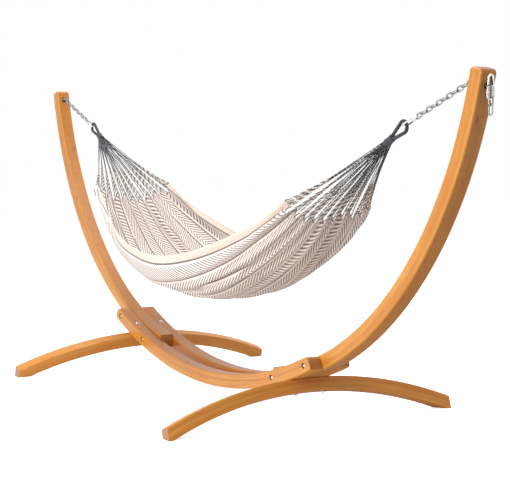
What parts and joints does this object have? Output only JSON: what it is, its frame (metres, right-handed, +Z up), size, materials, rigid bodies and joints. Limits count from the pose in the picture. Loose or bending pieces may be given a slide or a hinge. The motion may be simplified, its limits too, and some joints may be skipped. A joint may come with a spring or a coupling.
{
  "type": "hammock_on_stand",
  "caption": "Cotton hammock with fringed cords, hung by chains and snap hooks from an arched laminated larch stand on two bowed crossbars.",
  "frame": {"origin": "On the floor under the middle of the stand.", "axes": "+X runs along the stand towards the right arm, +Y across it towards the rear rail, +Z up. The front rail and the cloth's tag are on the -Y side."},
  "size_m": [4.1384, 1.44, 1.5013],
  "materials": {
    "larch": "oiled laminated larch with a soft sheen",
    "zinc_steel": "bright zinc plate",
    "chain_steel": "galvanised, dull silver",
    "hook_steel": "bright plated steel",
    "dark_rope": "charcoal wrapped cord",
    "cord": "charcoal cotton cords that turn mottled cream near the cloth",
    "woven_cotton": "cream and taupe herringbone weave with thin dark lines",
    "tag_fabric": "plain grey woven label"
  },
  "bodies": {
    "stand": {"left_arm": "larch", "right_arm": "larch", "front_rail": "larch", "rear_rail": "larch", "left_crossbar": "larch", "right_crossbar": "larch", "through_bolts": "zinc_steel", "through_bolt_washers": "zinc_steel", "through_bolt_nuts": "zinc_steel", "crossbar_bolts": "zinc_steel", "crossbar_washers": "zinc_steel", "crossbar_dome_nuts": "zinc_steel", "left_arm_chain": "chain_steel", "left_stop_hook": "hook_steel", "left_stop_hook_pin": "hook_steel", "right_arm_chain": "chain_steel", "right_stop_hook": "hook_steel", "right_stop_hook_pin": "hook_steel"},
    "left_suspension": {"left_chain": "chain_steel", "left_hook": "hook_steel", "left_hook_pin": "hook_steel"},
    "left_gate": {"left_hook_gate": "hook_steel", "left_gate_spring": "hook_steel"},
    "left_stop_gate": {"left_stop_hook_gate": "hook_steel", "left_stop_gate_spring": "hook_steel"},
    "left_tail": {"left_chain_tail": "chain_steel"},
    "right_suspension": {"right_chain": "chain_steel", "right_hook": "hook_steel", "right_hook_pin": "hook_steel"},
    "right_gate": {"right_hook_gate": "hook_steel", "right_gate_spring": "hook_steel"},
    "right_stop_gate": {"right_stop_hook_gate": "hook_steel", "right_stop_gate_spring": "hook_steel"},
    "right_tail": {"right_chain_tail": "chain_steel"},
    "hammock": {"hammock_cloth": "woven_cotton", "edge_tag": "tag_fabric", "left_loop_eye": "dark_rope", "left_loop_whipping": "dark_rope", "left_cords": "cord", "right_loop_eye": "dark_rope", "right_loop_whipping": "dark_rope", "right_cords": "cord"}
  },
  "joints": [
    {"name": "left_swing", "type": "hinge", "parent": "stand", "child": "left_suspension", "pos_m": [-1.95359, 0, 1.45373], "axis": [1, 0, 0], "range_deg": [-20, 20]},
    {"name": "right_swing", "type": "hinge", "parent": "stand", "child": "right_suspension", "pos_m": [1.95359, 0, 1.45373], "axis": [1, 0, 0], "range_deg": [-20, 20]},
    {"name": "hammock_roll", "type": "hinge", "parent": "left_suspension", "child": "hammock", "pos_m": [-1.54286, 0, 1.29607], "axis": [1, 0, 0], "range_deg": [-15, 15]},
    {"name": "left_gate_hinge", "type": "hinge", "parent": "left_suspension", "child": "left_gate", "pos_m": [-1.59435, 0.01073, 1.31583], "axis": [-0.3584, 0, -0.9336], "range_deg": [0, 22], "stiffness_Nm_per_rad": 0.03, "springref_deg": -22.92},
    {"name": "left_stop_gate_hinge", "type": "hinge", "parent": "stand", "child": "left_stop_gate", "pos_m": [-2.04527, -0.019, 1.45118], "axis": [0.9664, 0, 0.2571], "range_deg": [0, 22], "stiffness_Nm_per_rad": 0.03, "springref_deg": -22.92},
    {"name": "left_tail_swing", "type": "hinge", "parent": "stand", "child": "left_tail", "pos_m": [-2.05723, 0, 1.42615], "axis": [1, 0, 0], "range_deg": [-15, 15]},
    {"name": "right_gate_hinge", "type": "hinge", "parent": "right_suspension", "child": "right_gate", "pos_m": [1.59435, -0.01073, 1.31583], "axis": [0.3584, 0, -0.9336], "range_deg": [0, 22], "stiffness_Nm_per_rad": 0.03, "springref_deg": -22.92},
    {"name": "right_stop_gate_hinge", "type": "hinge", "parent": "stand", "child": "right_stop_gate", "pos_m": [2.04527, 0.019, 1.45118], "axis": [-0.9664, 0, 0.2571], "range_deg": [0, 22], "stiffness_Nm_per_rad": 0.03, "springref_deg": -22.92},
    {"name": "right_tail_swing", "type": "hinge", "parent": "stand", "child": "right_tail", "pos_m": [2.05723, 0, 1.42615], "axis": [1, 0, 0], "range_deg": [-15, 15]}
  ],
  "couplings": [
    {"joint": "right_swing", "follows": "left_swing", "ratio": 1}
  ]
}
